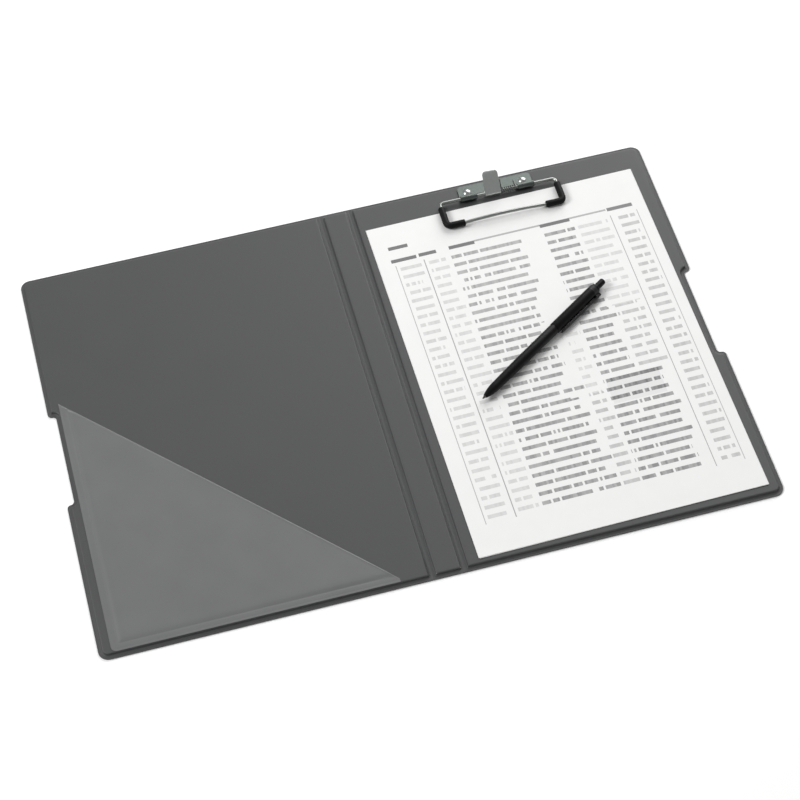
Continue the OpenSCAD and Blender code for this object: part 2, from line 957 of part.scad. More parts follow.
// The return spring sits between the floor of the bore and the refill's collar
pen_spring_d = 0.4;
pen_spring_turns = 8;
pen_spring_r = (refill_r + pen_bore_r) / 2;
pen_spring_from = nose_step + pen_spring_d;
pen_spring_to = collar_at - pen_spring_d;
pen_spring_steps = pen_spring_turns * rings_per_turn;
pen_spring_route = [
    for (i = [0:pen_spring_steps])
        let (turn = 360 * i / rings_per_turn)
        [
            pen_spring_r * cos(turn),
            pen_spring_r * sin(turn),
            pen_spring_from + (pen_spring_to - pen_spring_from) * i / pen_spring_steps
        ]
];

module pen_spring()
    color(bright)
        pen_place()
            tube(pen_spring_route, pen_spring_d / 2, 6, [1, 0, 0]);

echo(least_gap_pen_spring = turn_gap(pen_spring_route, rings_per_turn, pen_spring_d));

back_board();
back_inner_skin();
back_outer_skin();
spine_board();
spine_inner_skin();
spine_outer_skin();
cover_board();
cover_inner_skin();
cover_outer_skin();
corner_pocket();
clip_plate();
rivet_left();
rivet_right();
lever_spring();
wire_bow();
thumb_lever();
grip_left();
grip_right();
paper_sheets();
pen_front_barrel();
pen_rear_barrel();
pen_clip();
pen_spring();
pen_refill();
pen_button();
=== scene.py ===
# %% [markdown]
# # An open fold-over clipboard
#
# The real object is office stationery: two greyboard panels and a spine, welded between plastic
# films, with a sprung wire clip that holds A4 sheets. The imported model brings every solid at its
# real size. This file gives each one the surface that the eye expects: film that wraps the board
# and runs on through the folds, plated steel, moulded plastic and printed paper. Shapes are worked
# out in millimetres with numpy, and put into metres when they become meshes.

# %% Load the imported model
import json

import bmesh
import bpy
import numpy as np
from mathutils import Matrix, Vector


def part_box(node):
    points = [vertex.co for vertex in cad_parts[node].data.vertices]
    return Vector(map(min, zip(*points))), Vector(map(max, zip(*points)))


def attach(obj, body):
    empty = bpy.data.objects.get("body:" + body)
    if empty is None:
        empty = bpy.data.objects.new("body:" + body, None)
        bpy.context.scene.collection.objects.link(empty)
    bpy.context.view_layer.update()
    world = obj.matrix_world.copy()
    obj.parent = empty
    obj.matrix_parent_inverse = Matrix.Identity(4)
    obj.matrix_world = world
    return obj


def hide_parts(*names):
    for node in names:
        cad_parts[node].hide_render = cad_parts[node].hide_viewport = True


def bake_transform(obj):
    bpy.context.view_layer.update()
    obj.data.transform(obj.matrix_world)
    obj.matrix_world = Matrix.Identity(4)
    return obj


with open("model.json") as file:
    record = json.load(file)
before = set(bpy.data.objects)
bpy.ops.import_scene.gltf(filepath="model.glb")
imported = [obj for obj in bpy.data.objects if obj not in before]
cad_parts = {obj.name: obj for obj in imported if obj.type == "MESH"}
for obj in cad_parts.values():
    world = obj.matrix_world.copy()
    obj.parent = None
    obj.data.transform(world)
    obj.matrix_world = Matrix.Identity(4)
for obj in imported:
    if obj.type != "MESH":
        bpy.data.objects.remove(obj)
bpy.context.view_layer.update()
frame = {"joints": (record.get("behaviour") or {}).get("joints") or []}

# %% [markdown]
# The model carries the sizes that the new pieces must meet. Reading them from its boxes and joints,
# instead of typing them again, keeps the film on the board and the spring on its axle.

# %% Sizes that come from the model
joints = {j["name"]: j for j in frame["joints"]}


def box_mm(node):
    """Lowest and highest corner of a CAD node, in millimetres."""
    low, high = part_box(node)
    return 1000 * np.array(low), 1000 * np.array(high)


skin_low, skin_high = box_mm("back_outer_skin")
board_low, board_high = box_mm("back_board")
film = skin_high[2] - skin_low[2]
board_top = board_high[2]
panel_top = board_top + film
fold_x = 1000 * joints["spine_fold"]["pos_m"][0]
reach = skin_high[0] - fold_x
half_height = skin_high[1]
rim = skin_high[0] - board_high[0] - film
fold_gap = board_low[0] - film - fold_x
spine_board_half = box_mm("spine_board")[1][0]
axle = 1000 * np.array(joints["clip_open"]["pos_m"])
print(f"film {film:.2f}, panel {panel_top:.2f} thick, folds at {fold_x:.1f}, rim {rim:.1f} mm")

# %% [markdown]
# The camera stands where the photograph was taken. Its distance, angles and lens were solved from
# the corners of the folder and of the sheets, whose real sizes are known, so the perspective is the
# photograph's own. It leans by a few degrees, which is the roll.

# %% Camera
camera_place = (-0.1925, -0.8891, 1.3237)  # metres
camera_azimuth = -12.705  # degrees, where 0 looks along +Y
camera_elevation = 55.906
camera_roll = 2.612
camera_lens = 100.12  # millimetres, on a sensor 36 mm wide


def camera_axes(azimuth, elevation, roll):
    """Forward from the two angles, then right and up: level ones turned about it by the roll."""
    a, e, r = np.radians([azimuth, elevation, roll])
    forward = np.array([-np.sin(a) * np.cos(e), np.cos(a) * np.cos(e), -np.sin(e)])
    level = np.cross(forward, [0, 0, 1])
    level /= np.linalg.norm(level)
    right = np.cos(r) * level + np.sin(r) * np.cross(forward, level)
    return right, np.cross(right, forward), forward


camera_data = bpy.data.cameras.new("camera")
camera_data.lens = camera_lens
camera = bpy.data.objects.new("camera", camera_data)
right, up, forward = camera_axes(camera_azimuth, camera_elevation, camera_roll)
camera_pose = np.eye(4)
camera_pose[:3, :3] = np.stack([right, up, -forward], 1)
camera_pose[:3, 3] = camera_place
camera.matrix_world = Matrix(camera_pose.tolist())
bpy.context.scene.collection.objects.link(camera)
bpy.context.scene.camera = camera
print("camera looks along", forward.round(3))

# %% [markdown]
# Colours are written as the sRGB hex values that a screen or a paint chip shows, and a shader wants
# light values, so one function turns one into the other. Another adds a node to a material, with
# its settings and its links. A third starts a material with one Principled shader. In each finish
# a noise moves the colour and the gloss a little, because no real surface has only one of each, and
# a fourth function does that. Coordinates are metres, so the scale of a pattern is 1000 over the
# size in millimetres that it should have.

# %% Colours and nodes
def linear(hex_colour):
    """sRGB to light: c / 12.92 near black, and ((c + 0.055) / 1.055) to the power 2.4 above."""
    c = np.array([int(hex_colour[i : i + 2], 16) for i in (1, 3, 5)]) / 255
    light = np.where(c <= 0.04045, c / 12.92, ((c + 0.055) / 1.055) ** 2.4)
    return (*light.tolist(), 1.0)


def add(tree, kind, inputs, to=None, **settings):
    """Adds a node. Inputs are values to set, or nodes or sockets to link, and it feeds `to`."""
    node = tree.nodes.new(kind)
    for name, value in settings.items():
        setattr(node, name, value)
    for key, value in inputs.items():
        source = value.outputs[0] if isinstance(value, bpy.types.Node) else value
        if isinstance(source, bpy.types.NodeSocket):
            tree.links.new(source, node.inputs[key])
        else:
            node.inputs[key].default_value = source
    for key, target in (to or {}).items():
        tree.links.new(node.outputs[key], target)
    return node


def start_material(name, **shader_values):
    """A material with one Principled shader, and the object's own coordinates for its patterns."""
    material = bpy.data.materials.new(name)
    material.use_nodes = True
    tree = material.node_tree
    tree.nodes.clear()
    values = {key.replace("_", " "): value for key, value in shader_values.items()}
    shader = add(tree, "ShaderNodeBsdfPrincipled", values)
    add(tree, "ShaderNodeOutputMaterial", {"Surface": shader})
    place = add(tree, "ShaderNodeTexCoord", {}).outputs["Object"]
    return material, tree, shader.inputs, place


FACTOR, COLOUR_A, COLOUR_B, MIXED = 0, 6, 7, 2  # the sockets of a Mix node that mixes colours


def vary(tree, shader, noise, dark, pale, smooth, rough):
    """One noise moves the colour from dark to pale, and the roughness from smooth to rough."""
    noise = add(tree, "ShaderNodeTexNoise", noise).outputs[0]
    colour = {FACTOR: noise, COLOUR_A: linear(dark), COLOUR_B: linear(pale)}
    colour = add(tree, "ShaderNodeMix", colour, {MIXED: shader["Base Color"]}, data_type="RGBA")
    gloss = {"Value": noise, "To Min": smooth, "To Max": rough}
    add(tree, "ShaderNodeMapRange", gloss, {0: shader["Roughness"]})
    return noise, colour.outputs[MIXED]


print("white as light:", linear("#FFFFFF")[0])

# %% [markdown]
# The folder's skin is soft PVC film. It is calendered: squeezed between hot rollers, one of which
# presses a fine grain into it. The grain breaks up reflections, so the film looks satin rather than
# shiny. Its cells are about half a millimetre across, and are drawn near twice as coarse, because
# they wouldn't show at this distance. Over centimetres the film is a little uneven in thickness,
# which bends reflections slowly. The outside film has a deeper leather grain.

# %% Calendered film
def film_material(name, dark, pale, roughness, grain_mm, grain_height_mm):
    """Faint patches of handling in colour and gloss, and cells and slow waves in the bump."""
    material, tree, shader, place = start_material(name, IOR=1.53)
    patches = {"Vector": place, "Scale": 1000 / 45, "Detail": 4}
    vary(tree, shader, patches, dark, pale, roughness - 0.05, roughness + 0.05)
    cells = {"Vector": place, "Scale": 1000 / grain_mm}
    cells = add(tree, "ShaderNodeTexVoronoi", cells, feature="SMOOTH_F1").outputs["Distance"]
    grain = {"Height": cells, "Strength": 0.6, "Distance": grain_height_mm / 1000}
    grain = add(tree, "ShaderNodeBump", grain)
    waves = add(tree, "ShaderNodeTexNoise", {"Vector": place, "Scale": 1000 / 30, "Detail": 1})
    bump = {"Height": waves, "Strength": 0.5, "Distance": 0.0002, "Normal": grain}
    add(tree, "ShaderNodeBump", bump, {0: shader["Normal"]})
    return material


film_inside = film_material("calendered_pvc_inside", "#3B3C3C", "#3F4040", 0.54, 0.9, 0.02)
film_outside = film_material("grained_pvc_outside", "#383939", "#3D3E3E", 0.5, 1.2, 0.08)
print("film:", film_inside.name, film_outside.name)

# %% [markdown]
# The pocket is a harder, paler film without grain. It was drawn tight over the cover while it was
# warm, which leaves it clouded.

# %% Pocket film
def pocket_material():
    """Clouds 25 mm across in colour and gloss, and slow waves in the bump."""
    material, tree, shader, place = start_material("hard_pvc_pocket", IOR=1.53)
    clouds = {"Vector": place, "Scale": 1000 / 25, "Detail": 2}
    vary(tree, shader, clouds, "#606161", "#666767", 0.42, 0.5)
    waves = add(tree, "ShaderNodeTexNoise", {"Vector": place, "Scale": 1000 / 40, "Detail": 1})
    bump = {"Height": waves, "Strength": 0.5, "Distance": 0.0002}
    add(tree, "ShaderNodeBump", bump, {0: shader["Normal"]})
    return material


pocket_film = pocket_material()
print("pocket:", pocket_film.name)

# %% [markdown]
# Greyboard is pressed from waste paper, so it is warm grey, with darker flecks and short fibres.
# Film covers it on every side, but it has its finish for whoever takes the part to pieces.

# %% Greyboard
def greyboard_material():
    """Flecks 3 mm across in colour and gloss, and fibres half a millimetre across in the bump."""
    material, tree, shader, place = start_material("pressed_greyboard")
    flecks = {"Vector": place, "Scale": 1000 / 3, "Detail": 6}
    vary(tree, shader, flecks, "#857E72", "#A8A092", 0.88, 0.95)
    fibres = add(tree, "ShaderNodeTexNoise", {"Vector": place, "Scale": 1000 / 0.5, "Detail": 2})
    bump = {"Height": fibres, "Strength": 0.5, "Distance": 0.0001}
    add(tree, "ShaderNodeBump", bump, {0: shader["Normal"]})
    return material


greyboard = greyboard_material()
print("board:", greyboard.name)

# %% [markdown]
# The clip is mild steel, nickel plated after it was tumbled in a barrel with stones. That leaves
# fine scuffs and a soft, dull shine in place of a mirror. Drawn wire has its scuffs along it, which
# is along X for the bow's long bars. The plate and the lever are the same plated sheet, but their
# colours differ by painted light: the plate is darkened as painted shade, for the dark things that
# it reflects, and the lever, a little smoother where thumbs rub it, is made far paler as a painted
# reflection of the bright surround on its sloping face. The rivets are burnished by the tool that
# sets them, so they alone flash.

# %% Metals
def metal_material(name, dark, pale, roughness, scuff_mm, stretch=(1, 1, 1)):
    """Scuffs drawn out along the way of working, in colour and gloss and in a shallow bump."""
    material, tree, shader, place = start_material(name, Metallic=1.0)
    along = add(tree, "ShaderNodeMapping", {"Vector": place, "Scale": stretch})
    scuffs = {"Vector": along, "Scale": 1000 / scuff_mm, "Detail": 5}
    scuffs = vary(tree, shader, scuffs, dark, pale, roughness - 0.07, roughness + 0.07)[0]
    bump = {"Height": scuffs, "Strength": 0.3, "Distance": 0.00002}
    add(tree, "ShaderNodeBump", bump, {0: shader["Normal"]})
    return material


# Darkened colour: painted shade for the dark things that the plate reflects.
plate_painted_shade = metal_material("tumbled_nickel_plating_painted_shade", "#505653", "#656B68", 0.42, 1.4)
# Far paler colour: a painted reflection of the bright surround on the lever's sloping face.
lever_painted_reflection = metal_material("nickel_plating_painted_reflection", "#B0B4B1", "#C4C8C5", 0.36, 1.4)
drawn = (0.15, 1, 1)
plated_wire = metal_material("nickel_plated_drawn_wire", "#868986", "#9C9F9C", 0.34, 0.7, drawn)
burnished_rivet = metal_material("burnished_nickel_rivet", "#A9ADAB", "#BCBFBD", 0.28, 1.5)
spring_wire = metal_material("oil_tempered_spring_wire", "#5A5D5B", "#747775", 0.3, 0.5)
print("materials so far:", len(bpy.data.materials))

# %% [markdown]
# The black parts are moulded. The grips are soft PVC, which leaves its mould nearly matt. The pen
# is ABS with a satin skin from a spark-eroded mould, and its clip is polypropylene, a shade greyer.
# Fine texture swallows part of the shine, so the specular level is below the usual half.

# %% Moulded plastics
def moulded_material(name, dark, pale, roughness, texture_mm, height_mm, ior, shine):
    """Faint flow patches 6 mm across in colour and gloss, and the mould's texture in the bump."""
    material, tree, shader, place = start_material(name, IOR=ior, Specular_IOR_Level=shine)
    patches = {"Vector": place, "Scale": 1000 / 6, "Detail": 3}
    vary(tree, shader, patches, dark, pale, roughness - 0.05, roughness + 0.05)
    texture = {"Vector": place, "Scale": 1000 / texture_mm, "Detail": 2}
    texture = add(tree, "ShaderNodeTexNoise", texture)
    bump = {"Height": texture, "Strength": 0.5, "Distance": height_mm / 1000}
    add(tree, "ShaderNodeBump", bump, {0: shader["Normal"]})
    return material


grip_pvc = moulded_material("soft_moulded_pvc", "#050505", "#0B0B0B", 0.55, 0.4, 0.01, 1.53, 0.15)
pen_abs = moulded_material("satin_moulded_abs", "#030304", "#070708", 0.42, 0.3, 0.006, 1.54, 0.15)
pen_pp = moulded_material(
    "moulded_polypropylene", "#161617", "#1C1C1D", 0.4, 0.4, 0.006, 1.49, 0.35
)
print("plastics:", grip_pvc.name, pen_abs.name, pen_pp.name)

# %% [markdown]
# A mesh here is either a stack of rings or a grid. Rings of equal count, placed one after another
# along a profile, make every closed form of this object: film round a board, barrels, wire. Two
# helpers turn arrays of points into faces.

# %% Rings and grids
def loft(rings, joined=False):
    """Quads between each ring and the next. Flat faces close the ends, or they are joined."""
    stack, around = rings.shape[:2]
    k, i = np.meshgrid(np.arange(stack if joined else stack - 1), np.arange(around), indexing="ij")
    here, there = k * around, (k + 1) % stack * around
    faces = np.stack([here + i, here + (i + 1) % around, there + (i + 1) % around, there + i], -1)
    faces = faces.reshape(-1, 4).tolist()
    if not joined:
        ends = np.arange(around)
        faces += [ends[::-1].tolist(), (ends + (stack - 1) * around).tolist()]
    return rings.reshape(-1, 3), faces


def slab(top, thickness):
    """A grid of points and the same grid lowered by the thickness, joined round their borders."""
    rows, columns = top.shape[:2]
    index = np.arange(rows * columns).reshape(rows, columns)
    upper = np.stack([index[:-1, :-1], index[1:, :-1], index[1:, 1:], index[:-1, 1:]], -1)
    upper = upper.reshape(-1, 4)
    border = np.r_[index[0, :-1], index[:-1, -1], index[-1, :0:-1], index[:0:-1, 0]]
    after = np.roll(border, -1)
    below = rows * columns
    sides = np.stack([border, after, after + below, border + below], -1)
    points = np.concatenate([top.reshape(-1, 3), (top - [0, 0, thickness]).reshape(-1, 3)])
    return points, np.concatenate([upper, upper[:, ::-1] + below, sides]).tolist()


print("faces of a box:", len(slab(np.zeros((2, 2, 3)), 1)[1]))

# %% [markdown]
# Two more helpers turn points and faces into an object, with smooth shading that keeps true edges
# sharp. What comes from numpy is first turned the right way out.

# %% Pieces
def add_piece(name, mesh, material, sharp):
    """Smooths a mesh up to an angle, gives it its one material and adds it as an object."""
    mesh.shade_smooth()
    mesh.set_sharp_from_angle(angle=np.radians(sharp))
    mesh.materials.clear()
    mesh.materials.append(material)
    piece = bpy.data.objects.new(name, mesh)
    bpy.context.scene.collection.objects.link(piece)
    return piece


def make_piece(name, shape, material, sharp=40):
    """Makes the mesh in metres and turns it so that its volume is positive."""
    points, faces = shape
    mesh = bpy.data.meshes.new(name)
    mesh.from_pydata((points / 1000).tolist(), [], faces)
    work = bmesh.new()
    work.from_mesh(mesh)
    if work.calc_volume(signed=True) < 0:
        bmesh.ops.reverse_faces(work, faces=work.faces)
    work.to_mesh(mesh)
    work.free()
    piece = add_piece(name, mesh, material, sharp)
    return piece


# %% [markdown]
# Each panel is a board between two films that are welded together round it. The inner film is drawn
# down over the board's edge, so the board shows as a low plateau with soft shoulders and a rim 3 mm
# wide. It runs on past the fold to the spine. One outline, with the corners and the thumb notch,
# serves every ring: it is drawn at an inset from the outer edges and at a distance from the fold.

# %% Outline of a panel
corner_r = 7
notch_l = 82
notch_r = 2.75
least_corner_r, least_bend_r = 0.5, 0.15  # where the inset would leave nothing
fine_l = 8  # points are close together this near to the fold


def arc(centre, radius, start, end, count):
    """Points at equal angles on a circle, from one angle to another, in degrees."""
    turn = np.radians(np.linspace(start, end, count))
    return np.stack([centre[0] + radius * np.cos(turn), centre[1] + radius * np.sin(turn)], -1)


def line(first, last, count):
    """Points spaced evenly from the first up to, but without, the last."""
    return first + (np.array(last) - first) * np.arange(count)[:, None] / count


def panel_ring(inset, near):
    """Bottom edge, corner, side and the notch's two bends, then the same mirrored, and the fold."""
    edge, low = reach - inset, inset - half_height
    r = max(corner_r - inset, least_corner_r)
    bend_out, bend_in = max(notch_r - inset, least_bend_r), notch_r + inset
    inner = np.array([reach - notch_r, 2 * notch_r - notch_l / 2])
    across = edge - bend_out - inner[0]
    outer = np.array([edge - bend_out, inner[1] - np.sqrt((bend_in + bend_out) ** 2 - across**2)])
    turn = np.degrees(np.arctan2(inner[1] - outer[1], inner[0] - outer[0]))
    near_split = near + fine_l
    half = np.concatenate(
        [
            line([near, low], [near_split, low], 20),
            line([near_split, low], [edge - r, low], 10),
            arc((edge - r, low + r), r, -90, 0, 9),
            line([edge, low + r], [edge, outer[1]], 6)[1:],
            arc(outer, bend_out, 0, turn, 7),
            arc(inner, bend_in, turn + 180, 180, 9)[1:],
        ]
    )
    mirrored = half[::-1] * [1, -1]
    back = line([near, -low], [near, low], 12)[1:]
    return np.concatenate([half, mirrored, back])


def bell(distance, width):
    """1 at the middle, falling off as e to the power of minus the square of distance / width."""
    return np.exp(-((distance / width) ** 2))


press_depth = 0.12
weld_inset, weld_width, crease_width = 1.2, 0.35, 0.55
weld_start, weld_fade = 2, 4  # distances from the fold


def panel_film(profile, side):
    """Rings along a profile, with bell-shaped grooves pressed in at the weld and at the fold."""
    rings = []
    for inset, near, height, pressed in profile:
        ring = panel_ring(inset, near)
        faded = np.clip((ring[:, 0] - weld_start) / weld_fade, 0, 1)
        weld = press_depth * bell(inset - weld_inset, weld_width) * faded
        crease = press_depth * bell(ring[:, 0], crease_width)
        z = height - pressed * (weld + crease)
        rings.append(np.column_stack([side * (fold_x + ring[:, 0]), ring[:, 1], z]))
    return loft(np.array(rings))


print("points in one outline:", len(panel_ring(0, 0)))

# %% [markdown]
# The profile of the inner film runs from the hollow that holds the board, out along the underside,
# round the cut edge, back over the welded rim, up a small fillet against the board's edge and round
# its shoulder to the flat. The outer film is a plain sheet under it.

# %% Profiles of the panels' film
wall = rim + film
foot_r, shoulder_r = 1.0, 0.9
beyond_fold = spine_board_half + film - fold_x
edge_round = 0.05
flat_in, last_in = 1.6, 9  # the last rings, which lie on the flat


def quarter_steps(radius, count):
    """Pairs of radius × (1 - cos) and radius × (1 - sin) for equal steps of a quarter circle."""
    turn = np.radians(np.linspace(0, 90, count))
    return list(zip(radius * (1 - np.cos(turn)), radius * (1 - np.sin(turn))))


def panel_profiles():
    """Rows of inset, distance from the fold, height and pressing: inner film, then outer film."""
    share = np.linspace(0, 1, 19)
    hollow = fold_gap + film
    under = [(wall * (1 - s), hollow + (beyond_fold - hollow) * s, film, 0) for s in share]
    rim_in, rim_near = rim - foot_r, fold_gap - foot_r
    run_in, run_near = rim_in - edge_round, rim_near - beyond_fold - edge_round
    over = [
        (edge_round + run_in * s, beyond_fold + edge_round + run_near * s, 2 * film, 1)
        for s in share
    ]
    foot, shoulder = quarter_steps(foot_r, 7)[1:], quarter_steps(shoulder_r, 7)
    foot = [(rim - back, fold_gap - back, 2 * film + up, 0) for up, back in foot]
    shoulder = [(rim + on, fold_gap + on, panel_top - down, 0) for on, down in shoulder]
    flat = [(rim + flat_in, fold_gap + flat_in, panel_top, 0), (last_in, last_in, panel_top, 0)]
    inner = [(wall, hollow, board_top, 0)] + under + [(0, beyond_fold, 2 * film - edge_round, 0)]
    inner += over + foot + shoulder + flat
    outer = [(last_in, last_in, film, 0)] + under + [(0, beyond_fold, edge_round, 0)]
    outer += [(inset, near, 0, -1) for inset, near, _, _ in over] + [(last_in, last_in, 0, 0)]
    return inner, outer


inner_profile, outer_profile = panel_profiles()
print("rings:", len(inner_profile), len(outer_profile))

# %% [markdown]
# Both panels are made from these profiles, one mirrored.

# %% Film on the two panels
film_sharp = 50  # degrees
for side, body in ((1, "back"), (-1, "cover")):
    for layer, profile, material, slot in (
        ("inner", inner_profile, film_inside, "film_inside"),
        ("outer", outer_profile, film_outside, "film_outside"),
    ):
        shape = panel_film(profile, side)
        piece = make_piece(f"{body}_{layer}_film", shape, material, sharp=film_sharp)
        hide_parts(f"{body}_{layer}_skin")
        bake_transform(piece)
        print(piece.name, len(piece.data.polygons), "faces")

# %% [markdown]
# The spine holds a strip of the same board. Its inner film has the same soft shoulders. Where it
# comes down to the folds it laps a little over the panels' film, as the weld there does.

# %% Film on the spine
spine_corner_r = 1.0
spine_wall = spine_board_half + film
lap, lap_lift = 0.8, 0.01  # over the edge of the panels' film, and just above it
spine_flat_in = 1.8  # its last ring, on the flat


def spine_ring(half_x, half_y, height):
    """A rectangle with round corners, started at the bottom left and drawn anticlockwise."""
    x, y = half_x - spine_corner_r, half_y - spine_corner_r
    corners = [
        arc((sx * x, sy * y), spine_corner_r, start, start + 90, 5)
        for sx, sy, start in ((-1, -1, 180), (1, -1, 270), (1, 1, 0), (-1, 1, 90))
    ]
    outline = np.concatenate(corners)
    return np.column_stack([outline, np.full(len(outline), height)])


def spine_film(profile):
    """Rings along a profile of (half width, inset from the ends, height)."""
    return loft(np.array([spine_ring(w, half_height - inset, z) for w, inset, z in profile]))


def spine_profiles():
    """Inner film: hollow, underside, edge, foot, shoulder and flat. Outer film: a plain sheet."""
    foot, shoulder = quarter_steps(lap, 6), quarter_steps(shoulder_r, 6)
    foot = [(spine_wall + out, rim - out, 2 * film + up + lap_lift) for up, out in foot]
    shoulder = [(spine_wall - on, rim + on, panel_top - down) for on, down in shoulder]
    inner = [
        (spine_board_half, wall, board_top),
        (spine_board_half, wall, film),
        (spine_wall + lap, 0, film),
        (spine_wall + lap, 0, 2 * film - edge_round),
        (spine_wall + lap, edge_round, 2 * film + lap_lift),
        *foot,
        *shoulder,
        (spine_wall - spine_flat_in, rim + spine_flat_in, panel_top),
    ]
    return inner, [(spine_wall, 0, film), (spine_wall, 0, 0)]


inner_shape, outer_shape = [spine_film(profile) for profile in spine_profiles()]
spine_inner = make_piece("spine_inner_film", inner_shape, film_inside, film_sharp)
spine_outer = make_piece("spine_outer_film", outer_shape, film_outside)
for piece, node in ((spine_inner, "spine_inner_skin"), (spine_outer, "spine_outer_skin")):
    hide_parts(node)
    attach(piece, "spine")
    print(piece.name, len(piece.data.polygons), "faces")

# %% [markdown]
# The corner pocket is one triangle of film, welded to the cover along its two outer edges by a bar
# that leaves a pressed line on each side of the weld. The sloping mouth stays open, stands off a
# little and ends in a fine bead, where the hot knife that cut it drew the film together. First the
# plan: the triangle is a grid of columns that end on the mouth, with its points closer together at
# the welds and at the bead.

# %% Plan of the corner pocket
pocket_low, pocket_high = box_mm("corner_pocket")
pocket_run, pocket_rise = (pocket_high - pocket_low)[:2]
body_end, tip_first, tip_last = 40, 38, 2.5  # columns, as distances from the right corner
narrow_h = 24  # under this height of a column its points draw together


def spread(total, fixed, count):
    """Lines at fixed distances from the weld, then evenly spaced ones up to the total."""
    rest = fixed[-1] + (total - fixed[-1]) * np.arange(1, count + 1) / count
    return np.concatenate([fixed, rest])


def pocket_plan():
    """Distances from both welded edges, and for each column its mouth and how narrow it is."""
    hem = np.array([3.0, 2.4, 2.0, 1.7, 1.4, 1.1, 0.8, 0.5, 0.25, 0])
    fixed = np.array([0, 0.5, 0.9, 1.2, 1.5, 1.8, 2.1, 3, 4, 4.7, 5.1, 5.5, 5.9, 6.3, 7, 8, 9, 12])
    tip = np.linspace(pocket_run - tip_first, pocket_run - tip_last, 24)
    u = np.r_[spread(pocket_run - body_end, fixed, 30), tip]
    mouth = pocket_rise * (1 - u / pocket_run)
    narrow = np.minimum(1, mouth / narrow_h)
    ends = zip(mouth, narrow)
    v = np.array([np.r_[spread(m - hem[0] * k, fixed * k, 32), m - hem[1:] * k] for m, k in ends])
    return np.repeat(u[:, None], v.shape[1], 1), v, mouth[:, None], narrow[:, None]


plan = pocket_plan()
print("pocket", pocket_run.round(1), "x", pocket_rise.round(1), "mm, grid", plan[0].shape)

# %% [markdown]
# Then the heights. The film rises from the weld to the room inside, swells at the middle of the
# mouth and ends in the bead. Bell curves press in the two lines and raise the bead.

# %% Corner pocket
pocket_corner_r = 4.0
slope_w, swell = 3.5, 0.5
inner_line, inner_depth, inner_width = 5.5, 0.12, 0.5
outer_line, outer_depth, outer_width = 1.5, 0.08, 0.3
bead_line, bead_height, bead_width = 0.7, 0.22, 0.5


def pocket_surface(u, v, mouth, narrow):
    """The plan with its outer corner rounded, and a height for each of its points."""
    a, b = np.clip(1 - u / pocket_corner_r, 0, 1), np.clip(1 - v / pocket_corner_r, 0, 1)
    rounded_off = (a > 0) & (b > 0)
    x = np.where(rounded_off, pocket_corner_r * (1 - a * np.sqrt(1 - b**2 / 2)), u)
    y = np.where(rounded_off, pocket_corner_r * (1 - b * np.sqrt(1 - a**2 / 2)), v)
    inside = np.minimum(u, v)
    rise = np.clip((inside - inner_line) / slope_w, 0, 1)
    rise = rise * rise * (3 - 2 * rise)
    along = u / pocket_run
    near_mouth = u / pocket_run + v / pocket_rise
    room = pocket_high[2] - panel_top - film
    height = panel_top + film + rise * (room + swell * 4 * along * (1 - along) * near_mouth**4)
    from_mouth = (mouth - v) * pocket_run / np.hypot(pocket_run, pocket_rise)
    height += bead_height * narrow * bell(from_mouth - bead_line, bead_width)
    lines = inner_depth * bell(inside - inner_line, inner_width)
    height -= lines + outer_depth * bell(inside - outer_line, outer_width)
    return np.stack([pocket_low[0] + x, pocket_low[1] + y, height], -1)


pocket_shape = slab(pocket_surface(*plan), film)
pocket = make_piece("pocket_film", pocket_shape, pocket_film, film_sharp)
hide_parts("corner_pocket")
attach(pocket, "cover")
print(pocket.name, len(pocket.data.polygons), "faces")

# %% [markdown]
# The clip's steel pieces and grips have the right shape in the model. Real ones are sheared and
# tumbled, or moulded, so no edge is sharp. A copy of each mesh has its loose triangles merged and
# its flat faces joined. All but the round wire get a very small bevel, which catches the light
# along the edges.

# %% Steel and grips with soft edges
merge_gap = 2e-6  # metres
flat_angle, steel_sharp = 0.4, 32  # degrees


def softened(node, name, body, material, bevel_mm):
    """A merged copy of a CAD node's mesh. A bevel with a size goes on its sharp edges."""
    mesh = bpy.data.objects[node].data.copy()
    work = bmesh.new()
    work.from_mesh(mesh)
    bmesh.ops.remove_doubles(work, verts=work.verts, dist=merge_gap)
    flat = np.radians(flat_angle)
    bmesh.ops.dissolve_limit(work, angle_limit=flat, verts=work.verts, edges=work.edges)
    work.to_mesh(mesh)
    work.free()
    piece = add_piece(name, mesh, material, steel_sharp)
    if bevel_mm:
        bevel = piece.modifiers.new("bevel", "BEVEL")
        bevel.width = bevel_mm / 1000
        bevel.segments = 2
        bevel.limit_method = "ANGLE"
        bevel.angle_limit = np.radians(steel_sharp)
        bevel.harden_normals = True
    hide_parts(node)
    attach(piece, body)
    return piece


for node, name, body, material, slot, bevel_mm in (
    ("clip_plate", "riveted_plate", "back", plate_painted_shade, "plated_steel", 0.15),
    ("thumb_lever", "crimped_lever", "bow", lever_painted_reflection, "plated_steel", 0.15),
    ("wire_bow", "bent_wire", "bow", plated_wire, "plated_steel", 0),
    ("rivet_left", "domed_rivet_left", "back", burnished_rivet, "rivet_steel", 0.1),
    ("rivet_right", "domed_rivet_right", "back", burnished_rivet, "rivet_steel", 0.1),
    ("grip_left", "moulded_grip_left", "bow", grip_pvc, "grip_plastic", 0.25),
    ("grip_right", "moulded_grip_right", "bow", grip_pvc, "grip_plastic", 0.25),
):
    piece = softened(node, name, body, material, bevel_mm)
    print(name, len(piece.data.polygons), "faces before its bevel")

# %% [markdown]
# The lever spring is one wire: a leg on the plate, seven turns round the bow's wire, a leg that
# climbs to the lever and a hook under it. Its route is worked out from the coil's sizes.

# %% Route of the lever spring
spring_d, spring_r, spring_leg = 0.8, 1.8, 9.0
spring_turns, hook_l, hook_r = 7, 4.0, 0.8
coil_right, coil_left = 15.2, 3.05  # the coil's ends, along X from the joint
turn_points = 28
under_lever = 0.82
lever_slope = 48  # degrees


